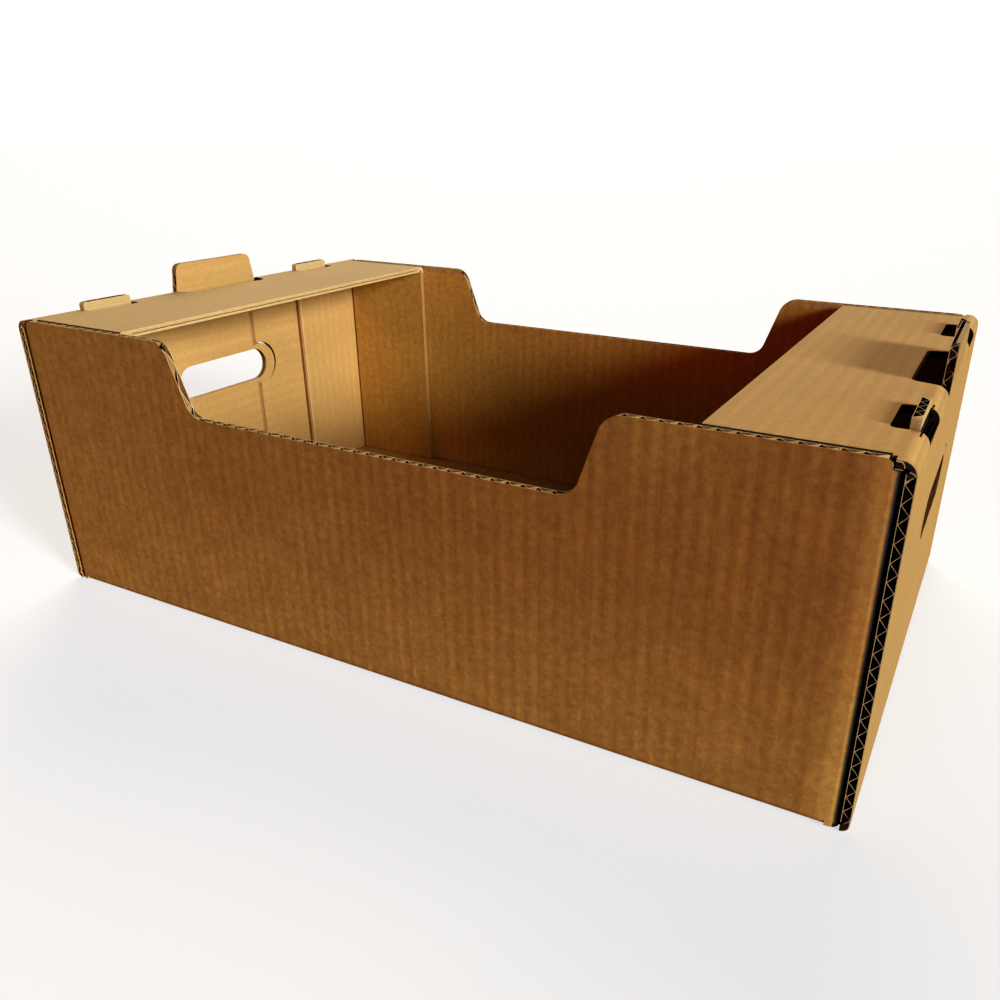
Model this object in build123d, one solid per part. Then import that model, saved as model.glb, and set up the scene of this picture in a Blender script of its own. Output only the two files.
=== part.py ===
from build123d import *
import os

# A cardboard produce tray, die-cut from one sheet of single-wall corrugated board and folded up.
# Every panel below belongs to that one sheet, so the whole tray is one solid with pinched folds.
# X runs along the length, Y across the width and Z up; the origin is the middle of the underside.

# Outside of the folded tray
length = 500.0
width = 300.0
height = 170.0

# Board: two flat liners with a wavy medium glued between them
board = 4.0
liner = 0.3
medium = 0.3
flute_pitch = 7.9
flute_depth = 6.0
layer_gap = 0.6

# Folds: the outside is rounded, and the score leaves a groove along the inside
foot_radius = 4.0
corner_radius = 4.0
fold_foot_rise = 1.0
top_radius = 6.0
wing_radius = 3.5
score_groove = 1.2

# Lower opening in the middle of both long walls
notch_top_width = 258.0
notch_bottom_width = 230.0
notch_depth = 40.0
notch_radius = 12.0
wall_shoulder_radius = 3.0

# Shelves folded in from the end walls, with a wing folded down at each side
shelf_depth = 82.0
wing_end_gap = 1.4
shelf_edge_slit = 1.0
shelf_slit_depth = 1.5

# Corner flaps hinged on the long walls, lying inside the end walls
flap_length = 73.0
flap_tab_width = 34.0
flap_tab_rise = 4.5
flap_tab_radius = 2.0

# Stacking tab cut out of each shelf and left standing in the plane of the end wall
tab_base_width = 74.0
tab_top_width = 66.4
tab_rise = 17.5
tab_radius = 5.0
cut_clearance = 0.4

# Slots in the shelf for the small tabs
slot_reach = 16.0
slot_side_clearance = 1.0
slot_radius = 3.0

# Hand hole, with the fold line and the half-round slit beside it
hand_hole_length = 84.0
hand_hole_height = 23.5
hand_hole_offset = -4.5
hand_hole_level = 105.5
crease_offset = 28.0
crease_width = 2.6
crease_depth = 0.7
slit_radius = 16.0
slit_offset = 32.0
slit_width = 1.5

# How far a cutting shape runs past the face that it cuts
overcut = 1.0

# Places that follow from the sizes above
half_length = length / 2
half_width = width / 2
end_inner = half_length - board
flap_outer = end_inner - layer_gap
flap_inner = flap_outer - board
wall_end = flap_outer - corner_radius
wall_inner = half_width - board
wing_outer = wall_inner - layer_gap
wing_inner = wing_outer - board
shelf_under = height - board
shelf_edge = half_length - shelf_depth
wing_end = flap_inner - wing_end_gap
floor_clear = board + layer_gap
flap_top = shelf_under - layer_gap
flap_end = half_width - flap_length
fold_start = height - top_radius
strip_edge = half_width - layer_gap


def ring(*points):
    # A flat face with straight sides through the given points
    return make_face(Polyline(*points, close=True))


def hollow(at, face, wide_outside):
    # One hollow between the wavy medium and a liner, seen along the flutes, with its base on that liner.
    # at is its middle along the edge, and face is the side of the board with the lower coordinate.
    half_pitch = flute_pitch / 2
    reach = board - 2 * liner
    lean = medium * (half_pitch ** 2 + reach ** 2) ** 0.5 / reach
    base = half_pitch - lean / 2
    depth = base * reach / half_pitch
    level = face + liner
    if wide_outside:
        level = face + board - liner
        depth = -depth
    return [(at - base, level), (at + base, level), (at, level + depth)]


def hollows(start, stop, face):
    # The row of hollows that a cut across the flutes opens between two places along the edge
    count = int((stop - start) / (flute_pitch / 2))
    first = (start + stop) / 2 - (count - 1) * flute_pitch / 4
    return [hollow(first + number * flute_pitch / 2, face, number % 2 == 1) for number in range(count)]


# A score's groove, drawn round an inside corner of a section
groove = RegularPolygon(score_groove, 6)

# Strip across the width: floor and both long walls, one folded section
across_section = ring(
    (-half_width, 0), (half_width, 0), (half_width, height), (wall_inner, height),
    (wall_inner, board), (-wall_inner, board), (-wall_inner, height), (-half_width, height),
)
across_section = fillet(across_section.vertices().sort_by(Axis.Y)[0:2], foot_radius)
across_section -= Locations((-wall_inner, board), (wall_inner, board)) * groove
across = extrude(Plane.YZ * across_section, amount=wall_end, both=True)

# Side view of a long wall: raised ends, a lower middle with sloping sides and round corners
wall_view = ring(
    (-wall_end, -overcut), (wall_end, -overcut), (wall_end, height), (notch_top_width / 2, height),
    (notch_bottom_width / 2, height - notch_depth), (-notch_bottom_width / 2, height - notch_depth),
    (-notch_top_width / 2, height), (-wall_end, height),
)
notch_corners = wall_view.vertices().filter_by(lambda v: abs(v.X) < wall_end - overcut)
wall_view = fillet(notch_corners, notch_radius)
shoulder = wall_view.vertices().filter_by(lambda v: abs(v.X) > wall_end - overcut and v.Y > height - overcut)
wall_view = fillet(shoulder, wall_shoulder_radius)
across &= extrude(Plane.XZ * wall_view, amount=width, both=True)

# Hollows in the top edges of the long walls; the flutes stand upright there
slope_run = (notch_top_width - notch_bottom_width) / 2


def edge_level(x):
    # Height of the wall's top edge at the lower side of a hollow
    share = (abs(x) - flute_pitch / 2 - notch_bottom_width / 2) / slope_run
    return height - notch_depth + notch_depth * min(max(share, 0.0), 1.0)


wall_hollows = []
for face in (-half_width, wall_inner):
    for shape in hollows(-wall_end + wall_shoulder_radius, wall_end - wall_shoulder_radius, face):
        level = edge_level((shape[0][0] + shape[1][0]) / 2) - flute_depth
        wall_hollows.append(extrude(Plane.XY.offset(level) * ring(*shape), amount=height + overcut - level))
across -= wall_hollows

# Strip along the length: floor, end walls and shelves, one folded section
along_section = ring(
    (-half_length, 0), (half_length, 0), (half_length, height), (shelf_edge, height),
    (shelf_edge, shelf_under), (end_inner, shelf_under), (end_inner, board), (-end_inner, board),
    (-end_inner, shelf_under), (-shelf_edge, shelf_under), (-shelf_edge, height), (-half_length, height),
)
foot_corners = along_section.vertices().filter_by(lambda v: abs(v.X) > half_length - overcut and v.Y < overcut)
along_section = fillet(foot_corners, foot_radius)
top_corners = along_section.vertices().filter_by(lambda v: abs(v.X) > half_length - overcut and v.Y > height - overcut)
along_section = fillet(top_corners, top_radius)
inner_corners = Locations((-end_inner, board), (end_inner, board), (-end_inner, shelf_under), (end_inner, shelf_under))
along_section -= inner_corners * groove
along = extrude(Plane.XZ * along_section, amount=strip_edge, both=True)

# Hollows in the upright side edges of the end walls; the flutes lie level there
end_hollows = []
for face in (-half_length, end_inner):
    for shape in hollows(foot_radius, fold_start, face):
        shape = ring(*[(across_board, along_edge) for along_edge, across_board in shape])
        end_hollows.append(extrude(Plane.XZ.offset(strip_edge - flute_depth) * shape, amount=flute_depth + overcut))
        end_hollows.append(mirror(end_hollows[-1], about=Plane.XZ))
along -= end_hollows

# The floor leaves its corners free for the corner folds, and the shelf stops short of the long walls
corner_relief = []
for x_side in (-1, 1):
    for y_side in (-1, 1):
        floor_cut = Box(end_inner, 2 * board, 2 * board, align=(Align.MAX, Align.MIN, Align.CENTER))
        floor_cut = Pos(end_inner, wing_outer, board / 2) * floor_cut
        shelf_cut = Box(shelf_depth, half_width, 2 * board, align=(Align.MAX, Align.MIN, Align.MIN))
        shelf_cut = Pos(wing_end, wing_outer - 2 * wing_radius, shelf_under - board / 2) * shelf_cut
        strip_cut = Box(shelf_depth, half_width, 2 * board, align=(Align.MAX, Align.MIN, Align.MIN))
        strip_cut = Pos(wall_end + layer_gap, wing_outer, shelf_under - board / 2) * strip_cut
        for cut in (floor_cut, shelf_cut, strip_cut):
            if x_side < 0:
                cut = mirror(cut, about=Plane.YZ)
            if y_side < 0:
                cut = mirror(cut, about=Plane.XZ)
            corner_relief.append(cut)
along -= corner_relief

# Stacking tab: its outline is cut from the shelf, which leaves a hole of the same form
tab_hole = ring(
    (end_inner, -tab_base_width / 2 - cut_clearance), (end_inner, tab_base_width / 2 + cut_clearance),
    (half_length - tab_rise - cut_clearance, tab_top_width / 2 + cut_clearance),
    (half_length - tab_rise - cut_clearance, -tab_top_width / 2 - cut_clearance),
)
hole_corners = tab_hole.vertices().sort_by(Axis.X)[0:2]
tab_hole = fillet(hole_corners, tab_radius)
tab_hole = extrude(Plane.XY.offset(shelf_under - top_radius) * tab_hole, amount=2 * top_radius + board)
tab_hole += Pos(end_inner, 0, fold_start) * Box(
    2 * board, tab_base_width + 2 * cut_clearance, 2 * top_radius, align=(Align.MIN, Align.CENTER, Align.MIN)
)
tab_view = ring(
    (-tab_base_width / 2, fold_start - board), (tab_base_width / 2, fold_start - board),
    (tab_base_width / 2, fold_start), (tab_top_width / 2, height + tab_rise),
    (-tab_top_width / 2, height + tab_rise), (-tab_base_width / 2, fold_start),
)
tab_view = fillet(tab_view.vertices().sort_by(Axis.Y)[-2:], tab_radius)
tab = extrude(Plane.YZ.offset(end_inner) * tab_view, amount=board)
tab_hollows = []
for shape in hollows(fold_start, height + tab_rise - tab_radius, end_inner):
    shape = ring(*[(across_board, along_edge) for along_edge, across_board in shape])
    tab_hollows.append(extrude(Plane.XZ.offset(tab_top_width / 2 - flute_depth) * shape, amount=tab_base_width))
    tab_hollows.append(mirror(tab_hollows[-1], about=Plane.XZ))
open_width = (board - 2 * liner - medium) / 2
tab_hollows.append(
    Pos(end_inner + liner + open_width / 2, 0, height + tab_rise)
    * Box(open_width, tab_top_width - 2 * tab_radius, flute_depth)
)
tab -= tab_hollows

# Slot for each small tab: it crosses the fold, so the end wall shows its two liners and medium there
slots = []
slot_grooves = []
tab_middle = flap_end + flap_tab_width / 2
slot_width = flap_tab_width + 2 * slot_side_clearance
opening_length = slot_reach + board + top_radius
for y_side in (-1, 1):
    opening = RectangleRounded(opening_length, slot_width, slot_radius)
    opening = Pos(half_length - slot_reach + opening_length / 2, y_side * tab_middle) * opening
    slots.append(extrude(Plane.XY.offset(shelf_under - overcut) * opening, amount=board + 2 * overcut))
    slots.append(
        Pos(end_inner - score_groove, y_side * tab_middle, fold_start)
        * Box(2 * board, slot_width, 2 * top_radius, align=(Align.MIN, Align.CENTER, Align.MIN))
    )
    for place in (liner + open_width / 2, board - liner - open_width / 2):
        slot_grooves.append(
            Pos(end_inner + place, y_side * tab_middle, fold_start) * Box(open_width, slot_width, flute_depth)
        )

# Hollows in the two sides of each hole and slot that cut across the shelf's flutes
hole_hollows = []
for shape in hollows(half_length - tab_rise, end_inner, shelf_under):
    shape = Plane.XZ.offset(tab_base_width / 2 - tab_rise / 2) * ring(*shape)
    hole_hollows.append(extrude(shape, amount=tab_rise / 2 + flute_depth))
    hole_hollows.append(mirror(hole_hollows[-1], about=Plane.XZ))
for shape in hollows(half_length - slot_reach + slot_radius, end_inner, shelf_under):
    shape = Plane.XZ.offset(tab_middle - slot_width / 2 - flute_depth) * ring(*shape)
    hole_hollows.append(extrude(shape, amount=slot_width + 2 * flute_depth))
    hole_hollows.append(mirror(hole_hollows[-1], about=Plane.XZ))

# Hand hole, fold line and half-round slit in the end wall
hand_hole = SlotOverall(hand_hole_length, hand_hole_height)
hand_hole = Pos(hand_hole_offset, hand_hole_level) * hand_hole
slit = Pos(slit_offset, hand_hole_level) * Circle(slit_radius)
slit -= Pos(slit_offset - slit_width, hand_hole_level - slit_width / 2) * Circle(slit_radius)
slit &= Pos(crease_offset + crease_width / 2, hand_hole_level) * Rectangle(
    2 * slit_radius, 4 * slit_radius, align=(Align.MIN, Align.CENTER)
)
wall_cuts = [
    extrude(Plane.YZ.offset(end_inner - overcut) * hand_hole, amount=board + 2 * overcut),
    extrude(Plane.YZ.offset(end_inner - overcut) * slit, amount=board + 2 * overcut),
]
crease = Pos(crease_offset, (shelf_under + board) / 2) * Rectangle(crease_width, shelf_under - board)
crease -= Pos(crease_offset, hand_hole_level) * Rectangle(2 * crease_width, 2 * slit_radius)
wall_cuts.append(extrude(Plane.YZ.offset(end_inner - overcut) * crease, amount=overcut + crease_depth))

# Shallow slit that shows between the crushed liners along the free edge of the shelf
edge_slit = Pos(shelf_edge, 0, height - board / 2) * Box(
    2 * shelf_slit_depth, 2 * (wing_inner - score_groove - wing_radius), shelf_edge_slit
)

right_cuts = [tab_hole, edge_slit] + slots + slot_grooves + hole_hollows + wall_cuts
along -= right_cuts
along -= [mirror(cut, about=Plane.YZ) for cut in right_cuts]

# Shelf with its two wings, one folded section over the width
wing_section = ring(
    (-wing_outer, floor_clear), (-wing_inner, floor_clear), (-wing_inner, shelf_under), (wing_inner, shelf_under),
    (wing_inner, floor_clear), (wing_outer, floor_clear), (wing_outer, height), (-wing_outer, height),
)
wing_section = fillet(wing_section.vertices().filter_by(lambda v: v.Y > height - overcut), wing_radius)
wing_section -= Locations((-wing_inner, shelf_under), (wing_inner, shelf_under)) * groove
wings = extrude(Plane.YZ.offset(shelf_edge) * wing_section, amount=wing_end - shelf_edge)
wings -= [tab_hole, edge_slit] + slots + hole_hollows

# Corner flap: plan view of the end of a long wall, the round corner fold and the flap
flap_plan = ring(
    (wall_end - 2 * board, -half_width), (flap_outer, -half_width), (flap_outer, -flap_end),
    (flap_inner, -flap_end), (flap_inner, -wall_inner), (wall_end - 2 * board, -wall_inner),
)
outer_corner = flap_plan.vertices().sort_by(lambda v: v.X - v.Y)[-1]
flap_plan = fillet(outer_corner, corner_radius)
flap_plan -= Pos(flap_inner, -wall_inner) * groove
flap = extrude(Plane.XY.offset(floor_clear) * flap_plan, amount=flap_top - floor_clear)
fold_foot = flap_plan & Pos(flap_outer, -half_width) * Rectangle(2 * corner_radius + board, 2 * board)
flap += extrude(Plane.XY.offset(fold_foot_rise) * fold_foot, amount=floor_clear)
small_view = ring(
    (-flap_end, flap_top - 2 * board), (-flap_end, height + flap_tab_rise),
    (-flap_end - flap_tab_width, height + flap_tab_rise), (-flap_end - flap_tab_width, flap_top - 2 * board),
)
small_view = fillet(small_view.vertices().sort_by(Axis.Y)[-2:], flap_tab_radius)
small_tab = extrude(Plane.YZ.offset(flap_inner) * small_view, amount=board)
flap += small_tab
flap_hollows = []
for shape in hollows(-flap_end - flap_tab_width + flap_tab_radius, -flap_end - flap_tab_radius, flap_inner):
    shape = ring(*[(across_board, along_edge) for along_edge, across_board in shape])
    flap_hollows.append(extrude(Plane.XY.offset(height + flap_tab_rise - flute_depth) * shape, amount=2 * flute_depth))
flap -= flap_hollows

# Everything is one sheet: the crossing strips, the tabs, the wings and the four corner flaps
right_end = [tab, wings, flap, mirror(flap, about=Plane.XZ)]
left_end = [mirror(piece, about=Plane.YZ) for piece in right_end]
tray = along.fuse(across, *right_end, *left_end)
tray.label = "tray"

os.makedirs("parts", exist_ok=True)
export_step(tray, "parts/tray.step")
print("solids", len(tray.solids()), "volume", round(tray.volume), "size", tray.bounding_box().size)
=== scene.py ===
import math

import bpy
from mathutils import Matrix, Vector

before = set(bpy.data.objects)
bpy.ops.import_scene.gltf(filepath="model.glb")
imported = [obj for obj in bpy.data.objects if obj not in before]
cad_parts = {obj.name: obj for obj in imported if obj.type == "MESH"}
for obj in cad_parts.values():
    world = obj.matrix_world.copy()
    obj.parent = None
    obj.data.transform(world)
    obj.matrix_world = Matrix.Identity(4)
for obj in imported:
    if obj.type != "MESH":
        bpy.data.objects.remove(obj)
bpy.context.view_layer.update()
mm = 0.001

# The camera
# It stands in front of the tray's right half and looks down along the length of the front wall,
# a little off the picture's middle, as the photograph was cropped.
bpy.ops.object.select_all(action="DESELECT")
camera_place = (268.48 * mm, -465.78 * mm, 276.54 * mm)
camera_turn = (math.radians(65.255), math.radians(-0.425), math.radians(27.620))
bpy.ops.object.camera_add(location=camera_place, rotation=camera_turn)
camera = bpy.context.object
camera.name = "camera"
camera.data.sensor_width = 36.0
camera.data.lens = 31.654
camera.data.shift_x = -0.0502
camera.data.shift_y = 0.0294
camera.data.clip_start = 0.01
camera.data.clip_end = 50.0
bpy.context.scene.camera = camera


# The board
# Single-wall corrugated board: brown kraft liners on both sides of a wavy medium. The liners sink a
# little between the flutes, and cut edges show paler paper round dark hollows.
class Value:
    """One value in a material. Sums and products of values add their Math nodes."""

    def __init__(self, tree, socket=None):
        self.tree = tree
        self.socket = socket

    def node(self, kind, settings=None, inputs=None, output=0):
        """Any node: its settings come first, then the values or links of its sockets."""
        made = self.tree.nodes.new(kind)
        for name, value in (settings or {}).items():
            setattr(made, name, value)
        for key, value in (inputs or {}).items():
            if isinstance(value, Value):
                self.tree.links.new(value.socket, made.inputs[key])
            else:
                made.inputs[key].default_value = value
        return Value(self.tree, made.outputs[output])

    def maths(self, operation, *values):
        return self.node("ShaderNodeMath", {"operation": operation}, dict(enumerate(values)))

    def __add__(self, other):
        return self.maths("ADD", self, other)

    def __radd__(self, other):
        return self.maths("ADD", other, self)

    def __sub__(self, other):
        return self.maths("SUBTRACT", self, other)

    def __rsub__(self, other):
        return self.maths("SUBTRACT", other, self)

    def __mul__(self, other):
        return self.maths("MULTIPLY", self, other)

    def __gt__(self, other):
        return self.maths("GREATER_THAN", self, other)

    def __lt__(self, other):
        return self.maths("LESS_THAN", self, other)

    def __abs__(self):
        return self.maths("ABSOLUTE", self)

    def at_least(self, other):
        return self.maths("MAXIMUM", self, other)

    def cosine(self):
        return self.maths("COSINE", self)

    def length_with(self, other):
        """The long side of a right triangle with these two short sides."""
        return self.maths("SQRT", self * self + other * other)

    def within(self, low, high):
        return (self > low) * (self < high)

    def fade(self, low, high):
        """0 up to low, 1 from high on, and smooth between them."""
        settings = {"interpolation_type": "SMOOTHSTEP"}
        return self.node("ShaderNodeMapRange", settings, {"Value": self, "From Min": low, "From Max": high})

    def choose(self, no, yes):
        """The first value where this is 0, and the second where it is 1."""
        return self * (yes - no) + no

    def paint(self, under, over):
        """One colour over another, by this share."""
        colours = {"Factor": self, 6: under, 7: over}
        return self.node("ShaderNodeMix", {"data_type": "RGBA"}, colours, output=2)

    def times(self, share):
        """This vector or colour, made longer or lighter by a share."""
        return self.node("ShaderNodeVectorMath", {"operation": "SCALE"}, {0: self, "Scale": share})

    def parts(self):
        """The three parts of this vector."""
        return [self.node("ShaderNodeSeparateXYZ", None, {0: self}, output=axis) for axis in range(3)]


def any_of(first, *others):
    for other in others:
        first = first.at_least(other)
    return first


# The tray's sizes in mm: x and y from its middle, z from its underside
half_length = 250.0
half_width = 150.0
tray_height = 170.0
thick = 4.0
layer_gap = 0.6
fold_radius = 6.0
flute_pitch = 7.9
end_inner = half_length - thick
wall_inner = half_width - thick
shelf_under = tray_height - thick
shelf_edge = 168.0
fold_x = half_length - fold_radius
fold_z = tray_height - fold_radius
flap_outer = end_inner - layer_gap
flap_inner = flap_outer - thick
flap_middle = flap_outer - thick / 2
flap_top = shelf_under - layer_gap
flap_end = 77.0
slot_middle = 94.0
slot_half = 18.5
wing_outer = wall_inner - layer_gap
wing_inner = wing_outer - thick
tab_half = 37.0
tab_rounds = 176.0
notch_foot = 115.0
notch_head = 129.0
notch_level = 130.0
notch_depth = 40.0
hand_reach = 50.0
hand_low = 93.0
hand_high = 118.0
crease_y = 28.0
slit_y = 32.0
slit_z = 105.5
slit_radius = 16.0

# A place counts as on a face up to a few hairs off it, and a face looks along an axis, is turned
# halfway or is side on by the part of its normal that lies that way
hair = 0.1
straight_on = 0.7
halfway = 0.5
side_on = 0.3

board = bpy.data.materials.new("kraft_board")
board.use_nodes = True
tree = board.node_tree
shader = tree.nodes["Principled BSDF"]
start = Value(tree)

place = start.node("ShaderNodeTexCoord", output=3)
x, y, z = place.times(1 / mm).parts()
facing = start.node("ShaderNodeNewGeometry", output=3)
facing_x, facing_y, facing_z = (abs(part) for part in facing.parts())
far_x = abs(x)
far_y = abs(y)
left = x < 0.0
right = x > 0.0
on_end = facing_x > straight_on
on_side = facing_y > straight_on
level = facing_z > straight_on
inside = (far_x < end_inner + 2 * hair) * (far_y < wall_inner + 2 * hair)
inside = inside * z.within(thick - hair, shelf_under + 2 * hair)

# Flutes lie across the floor, the shelves and the end walls, and stand up in the other panels
on_end_wall = far_x > end_inner - 3 * hair
across_flutes = on_end.choose(x, on_end_wall.choose(y, z))
along_flutes = on_end.choose(level.choose(z, y), on_end_wall.choose(z, y))


def noise(where, scale, detail, roughness=0.5):
    inputs = {"Vector": where, "Scale": scale, "Detail": detail, "Roughness": roughness}
    return start.node("ShaderNodeTexNoise", None, inputs)


def joined(*parts):
    return start.node("ShaderNodeCombineXYZ", None, dict(enumerate(parts)))


# Slow unevenness, so that no band or patch repeats, then the pulp's mottle and the fibres, which lie
# along the flutes' tips
drift = noise(place, 7.0, 2.0)
patches = noise(place, 40.0, 4.0, 0.6)
mottle = noise(place, 330.0, 4.0, 0.65)
fleck = noise(place, 1600.0, 2.0)
panel = (y * on_side + x * on_end + z * level) * 0.1
streak = noise(joined(across_flutes, along_flutes * 0.07, panel), 0.22, 2.0)
fibre = noise(joined(across_flutes * 0.35, along_flutes, panel), 0.8, 3.0, 0.6)

# The liner sinks between the flute tips, more in some places than in others
turns = 2 * math.pi / flute_pitch
wave = ((across_flutes + (drift - 0.5) * 1.5) * turns).cosine()
sink = streak.fade(0.3, 0.7) * 0.06 + patches.fade(0.3, 0.7) * 0.03
sink = sink * x.fade(-230.0, 60.0).choose(0.55, 1.0)

# The long walls' outside is the coarsest to look at, and the ends and shelves are the smoothest
coarse = on_side.choose(0.2, inside.choose(1.0, 0.65))
grain = (mottle - 0.5) * 0.58 + (fleck - 0.5) * 0.42 + (patches - 0.5) * 0.42
grain = grain * coarse + (fibre - 0.5) * on_side * 0.18
# Painted shade: besides the liner's random streaks, the colour darkens and lightens with the sunk liner
# between the flute tips, as its shading, on top of its bump
streaks_and_flute_shade = wave * sink * inside.choose(0.65, 0.9) + (streak - 0.5) * 0.08
tone = (1.0 + grain + (drift - 0.5) * 0.12) * (1.0 + streaks_and_flute_shade)

# The inner liner is paler than the outer one. Painted light and shade stand in the tone too: the long walls'
# inside is painted lighter at its left end, where the side light falls, and darker towards its foot further
# right; their outside is painted lighter at its foot and darker towards its top, as the floor's light falls
# on it; the end walls' outside, which faces the lamps, is painted darker; the shelf tops are painted lighter
# and the tabs standing above them darker; and under the right shelf the board is painted in deep shade
inner_tone = on_side.choose(1.06, 1.10)
painted_end_shade = 0.82
painted_wall_light = z.fade(5.0, 125.0).choose(1.08, 0.89)
painted_left_light = 1.15
painted_foot_shade = z.fade(5.0, 90.0).choose(0.88, 1.0)
painted_shelf_light = 1.04
painted_under_shelf_shade = 0.35
painted_tab_shade = 0.9
end_outside = far_x > half_length - thick / 2
wall_outside = far_y > half_width - thick / 2
painted_light_share = 1.0 - x.fade(-165.0, -75.0)
on_top = (z > tray_height - 10 * hair) * level * (far_y < wall_inner - hair)
above_shelf = z > tray_height + 3 * hair
tone = tone * inside.choose(1.0, inner_tone) * end_outside.choose(1.0, painted_end_shade)
tone = tone * wall_outside.choose(1.0, painted_wall_light)
tone = tone * (inside * on_side).choose(1.0, painted_light_share.choose(painted_foot_shade, painted_left_light))
tone = tone * on_top.choose(1.0, painted_shelf_light) * above_shelf.choose(1.0, painted_tab_shade)
tone = tone * (inside * x.fade(172.0, 205.0)).choose(1.0, painted_under_shelf_shade)

# Cut edges, where the board's section is open to view
foot_top = 6.0
end_top = fold_z - 5 * hair
below_shelf = z < flap_top + hair
top_edge = (far_y > wall_inner - hair) * (facing_y < side_on) * (far_x < flap_inner - hair)
top_edge = top_edge * z.within(foot_top, tray_height + 2 * hair)
end_edge = (far_x > end_inner - 2 * hair) * (facing_x < side_on) * z.within(foot_top, end_top)
tab_rim = above_shelf * (facing_x < side_on)
shelf_rim = (z > flap_top + hair) * (facing_z < side_on)
shelf_rim = shelf_rim * (far_x < end_inner - hair) * (far_y < wing_outer - 4 * hair)
# The strip on the flap's face by its free edge is pale cut paper where the edge wraps over, and partly a
# painted highlight where the edge catches the light
flap_rim_and_highlight = far_x.within(flap_inner - 2 * hair, flap_middle)
flap_rim_and_highlight = flap_rim_and_highlight * far_y.within(flap_end - 2 * hair, flap_end + 12 * hair) * below_shelf
cut = any_of(top_edge, end_edge * left.choose(1.0, 0.5), tab_rim * 0.7, shelf_rim * 0.5, flap_rim_and_highlight * 0.8)

# Painted shade: inside the hollows, in the corner gaps, on the holes' rims, the slots' floors and the end
# walls' section by their sides the paper is painted nearly black, where it is out of the light
end_strip = far_y > half_width - 2 * thick
hole_low = 160.0
wall_hollow = far_y.within(wall_inner + 2 * hair, half_width - 2 * hair)
wall_hollow = wall_hollow * (facing_y > halfway) * (far_x < flap_inner - hair) * (z > 20.0)
folded = (z > fold_z - hair) * (far_y > tab_half + 3 * hair) * (facing_z > 0.2)
folded = any_of(z < thick + 2 * hair, folded)
end_hollow = far_x.within(end_inner + 2 * hair, half_length - 2 * hair) * (facing_x > halfway)
end_hollow = end_hollow * (1.0 - folded) * any_of(end_strip, z > hole_low)
flap_hollow = far_x.within(flap_inner + 2 * hair, flap_outer - 2 * hair)
flap_hollow = flap_hollow * (facing_x > halfway) * (z > shelf_under)
shelf_slit = z.within(shelf_under + 2 * hair, tray_height - 2 * hair)
shelf_slit = shelf_slit * (facing_z > halfway) * (far_x < end_inner - 10 * hair)
corner_gap = far_x.fade(242.0, 243.8) * (far_x < end_inner - hair) * (far_y > wall_inner + 2 * hair)
corner_gap = corner_gap * z.within(1.2, flap_top + hair) * left.choose(1.0, 0.45)
tab_face = any_of(
    far_x.within(end_inner - 2 * hair, end_inner + 3 * hair),
    far_x.within(flap_inner - 4 * hair, flap_inner + 4 * hair),
)
hole_edge = z.within(hole_low, tray_height - 3 * hair) * (facing_z < side_on)
hole_edge = hole_edge * far_x.within(233.0, half_length - 4 * hair) * (far_y < wing_inner - 4 * hair)
hole_edge = hole_edge * (1.0 - tab_face * on_end)
deep_end = far_x.within(end_inner + hair, half_length - hair) * far_y.within(138.0, 149.0)
deep_end = deep_end * (facing_y > halfway) * z.within(thick + 5 * hair, end_top)
slot_floor = far_y.within(slot_middle - slot_half, slot_middle + slot_half)
slot_floor = slot_floor * far_x.within(fold_x, half_length - 3 * hair) * z.within(157.0, fold_z + 2 * hair)
hollow = any_of(wall_hollow, end_hollow, flap_hollow, shelf_slit, corner_gap, hole_edge, deep_end, slot_floor)

# The section's end at the folds, the hand hole's round ends and the tab's corners show the medium
# too: its line swings between the liners, round the folds and straight on between them. Between the paper
# lines the section is painted in the hollows' shade, and the right end's cut edges by its sides get a quarter
# of that shade
swing = 1.5
line_half = 0.3
liner_line = 1.65
bend_x = (far_x - fold_x).at_least(0.0)
bend_z = (z - fold_z).at_least(0.0) * (z < tray_height + 3 * hair)
foot = (far_x - end_inner).at_least(0.0).length_with((thick - z).at_least(0.0)) + (fold_radius - thick)
into_board = (z < 10.0).choose(bend_x.length_with(bend_z), foot) - (fold_radius - thick / 2)
round_bend = (bend_z.maths("ARCTAN2", bend_z, bend_x) * 3.6).cosine()
straight = ((z - far_y) * turns).cosine()
at_fold = z.within(fold_z - hair, tray_height + 3 * hair)
paper_line = abs(into_board - at_fold.choose(straight, round_bend) * swing) < line_half
paper_line = any_of(paper_line, abs(into_board) > liner_line)
fold_side = far_y.within(wing_outer - 2 * hair, half_width - 3 * hair) * (far_x > 239.5)
fold_side = fold_side * any_of(z > fold_z - 3 * hair, z < thick + 2 * hair)
outer_side = far_y.within(half_width - 9 * hair, half_width - 3 * hair) * (far_x > end_inner)
outer_side = outer_side * any_of(z > 162.6, z < 8.6)
fold_end = (facing_y > 0.8) * any_of(fold_side, outer_side)
hand_side = (facing_x < side_on) * (far_x > end_inner + hair / 2)
hand_side = hand_side * (far_y < hand_reach) * z.within(hand_low, hand_high)
hand_end = hand_side * (facing_y > side_on)
tab_corner = (facing_x < side_on) * (far_x > end_inner - hair) * (far_y > 26.0) * (z > tab_rounds)
section_end = any_of(fold_end, hand_end, tab_corner)
between_lines = section_end * (1.0 - paper_line) * any_of(hand_end, left).choose(1.0, 0.5)
hollow = any_of(hollow, end_edge * right * end_strip * 0.25, between_lines)
cut = any_of(cut, section_end * paper_line * 0.6)

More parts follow.
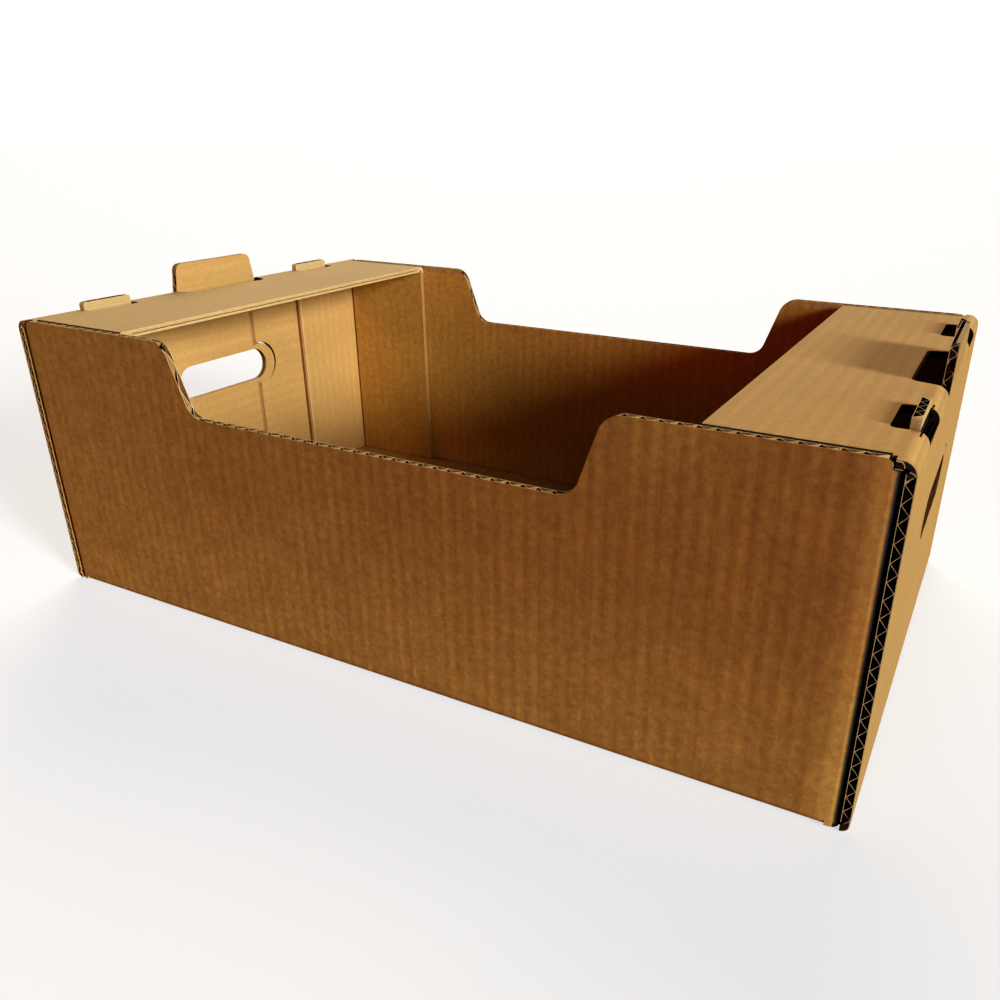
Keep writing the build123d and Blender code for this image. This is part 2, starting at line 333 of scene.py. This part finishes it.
# Knife and knocks have crushed the top edges, so pale paper covers part of their hollows
drop = (far_x - notch_foot) * (notch_depth / (notch_head - notch_foot))
top_level = drop.maths("MINIMUM", drop.at_least(0.0), notch_depth) + notch_level
crumb = noise(place, 620.0, 2.0)
raised = far_x > notch_head
slope = far_x.within(notch_foot - 3.0, notch_head + 2.0)
near_top = (top_level - z) < slope.choose(3.0, 12.0)
crushed = wall_hollow * (crumb > slope.choose(raised.choose(0.38, 0.33), 0.30)) * near_top
crushed = any_of(crushed, wall_hollow * raised * near_top * (far_y < wall_inner + 9 * hair) * 0.8)
crushed = any_of(crushed, end_hollow * left)

# Painted shade: the fold line by the hand hole, the slit round it, the right hand hole's rim, the flap's free
# edge, the wings' edges and the inner corners are painted browner, where shade falls in and beside them
slit_middle = (y - slit_y).length_with(z - slit_z)
crease = (1.0 - abs(y - crease_y).fade(0.8, 3.0)) * (slit_middle > slit_radius - 1.0)
crease = crease * far_x.within(end_inner - 2 * hair, end_inner + 10 * hair) * (facing_x > side_on)
crease = crease * (z < shelf_under + 2 * hair)
slit_side = (abs(slit_middle - slit_radius) < 2.2) * (y > crease_y) * (facing_x < side_on)
slit_side = slit_side * far_x.within(end_inner + hair / 2, half_length - hair)
flap_side = far_x.within(flap_middle, end_inner) * on_side * below_shelf
flap_side = flap_side * far_y.within(flap_end - 10 * hair, flap_end + 10 * hair)
wing_side = far_y.within(wing_inner - 2 * hair, wall_inner - hair) * (facing_y < side_on)
wing_side = wing_side * far_x.within(shelf_edge - 10 * hair, shelf_edge + 10 * hair) * z.within(3.0, 165.0)
inner_corner = on_side * (far_y < half_width - 2 * thick) * far_x.fade(239.2, 241.0)
inner_corner = inner_corner * (far_x < flap_inner + 2 * hair) * z.within(thick, flap_top + hair)
hand_rim = hand_side * right
brown = any_of(hand_rim, crease * 0.5, slit_side, flap_side * 0.8, wing_side * 0.6, inner_corner * 0.8)

liner_red = (0.485, 0.270, 0.088, 1.0)
liner_yellow = (0.515, 0.315, 0.112, 1.0)
cut_paper = (0.60, 0.41, 0.20, 1.0)
painted_hollow_shade = (0.018, 0.011, 0.006, 1.0)
crushed_paper = (0.40, 0.23, 0.08, 1.0)
painted_shade_brown = (0.24, 0.10, 0.03, 1.0)
painted_sheen = (0.60, 0.44, 0.22, 1.0)
golden_paper = (0.44, 0.23, 0.015, 1.0)
russet_paper = (0.36, 0.13, 0.03, 1.0)

# The liner's own colour turns golden on the long walls and russet on their outside. The left shelf's top is
# painted paler, as a painted sheen, and the cut edges, the painted shade of the brown lines and the painted
# shade of the hollows lie over it
outside = far_y > half_width - 5 * hair
yellow = (mottle.fade(0.35, 0.65) - 0.5) * on_side.choose(0.4, 1.0) + 0.5
golden = on_side * any_of(outside * 0.35, inside * 0.4)
russet = outside * on_side * z.fade(20.0, 110.0) * x.fade(-200.0, -60.0) * drift.fade(0.3, 0.6) * 0.35
liner = yellow.paint(liner_red, liner_yellow)
liner = (on_top * left * 0.55).paint(liner, painted_sheen)
liner = golden.paint(liner, golden_paper)
liner = russet.paint(liner, russet_paper)
colour = brown.paint(cut.paint(liner, cut_paper), painted_shade_brown)
colour = hollow.paint(colour, crushed.paint(painted_hollow_shade, crushed_paper))

# The right end of each long wall rolls over before its fold
roll_start = 229.0
roll_rate = 0.011
roll = (x - roll_start).at_least(0.0) * wall_outside
pulp = (mottle * 0.06 + fleck * 0.04) * on_side.choose(0.5, 1.0)
relief = wave * sink * 0.8 + pulp - roll * roll * roll_rate
bump = start.node("ShaderNodeBump", None, {"Height": relief, "Distance": mm, "Strength": 0.8})
tree.links.new(colour.times(tone).socket, shader.inputs["Base Color"])
tree.links.new(bump.socket, shader.inputs["Normal"])
shader.inputs["Roughness"].default_value = 0.82
shader.inputs["Specular IOR Level"].default_value = 0.25

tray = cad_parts["tray"]
tray.data.materials.clear()
tray.data.materials.append(board)

# The floor
# A plain pale sheet with nothing on it, so that only the tray's own shadow shows. It glows a little
# to the camera, and gives a dim warm light back to the tray.
floor_size = 30.0
floor_level = -0.2 * mm
thrown_back = (0.22, 0.10, 0.05, 1.0)
sheet_colour = (0.355, 0.33, 0.305, 1.0)
no_glow = (0.0, 0.0, 0.0, 1.0)
sheet_glow = (0.46, 0.46, 0.46, 1.0)
bpy.ops.object.select_all(action="DESELECT")
bpy.ops.mesh.primitive_plane_add(size=floor_size, location=(0, 0, floor_level))
floor = bpy.context.object
floor.name = "floor"
pale = bpy.data.materials.new("pale_floor")
pale.use_nodes = True
pale_shader = pale.node_tree.nodes["Principled BSDF"]
pale_shader.inputs["Roughness"].default_value = 0.95
pale_shader.inputs["Specular IOR Level"].default_value = 0.1
pale_shader.inputs["Emission Strength"].default_value = 1.0
seen = Value(pale.node_tree).node("ShaderNodeLightPath", output=0)
sheet = seen.paint(thrown_back, sheet_colour)
glow = seen.paint(no_glow, sheet_glow)
pale.node_tree.links.new(sheet.socket, pale_shader.inputs["Base Color"])
pale.node_tree.links.new(glow.socket, pale_shader.inputs["Emission Color"])
floor.data.materials.append(pale)


# The light
# Two soft cool lamps from the right, one of them nearly level, a very soft warm one from behind on
# the left, and a faint red one in front that warms the shade. The room itself is nearly dark.
def soft_light(name, aim, angle, energy, colour):
    bpy.ops.object.light_add(type="SUN", location=aim)
    lamp = bpy.context.object
    lamp.name = name
    lamp.data.angle = math.radians(angle)
    lamp.data.energy = energy
    lamp.data.color = colour
    lamp.rotation_euler = aim.to_track_quat("Z", "Y").to_euler()


cool = (0.89, 1.0, 1.12)
warm = (1.0, 0.90, 0.78)
red = (1.0, 0.05, 0.0)
soft_light("side_light", Vector((1.0, -0.28, 0.34)), 15.0, 2.95, cool)
soft_light("low_side_light", Vector((1.0, -0.28, 0.08)), 10.0, 0.90, cool)
soft_light("back_light", Vector((-0.5, 1.0, 0.75)), 50.0, 2.0, warm)
soft_light("front_light", Vector((0.0, -1.0, 0.02)), 20.0, 0.42, red)

dim = (0.012, 0.012, 0.012, 1.0)
white = (1.0, 1.0, 1.0, 1.0)
room = bpy.data.worlds.new("room")
bpy.context.scene.world = room
room.use_nodes = True
backdrop = room.node_tree.nodes["Background"]
seen = Value(room.node_tree).node("ShaderNodeLightPath", output=0)
room.node_tree.links.new(seen.paint(dim, white).socket, backdrop.inputs["Color"])
bpy.context.scene.view_settings.view_transform = "Standard"
bpy.context.scene.view_settings.look = "High Contrast"
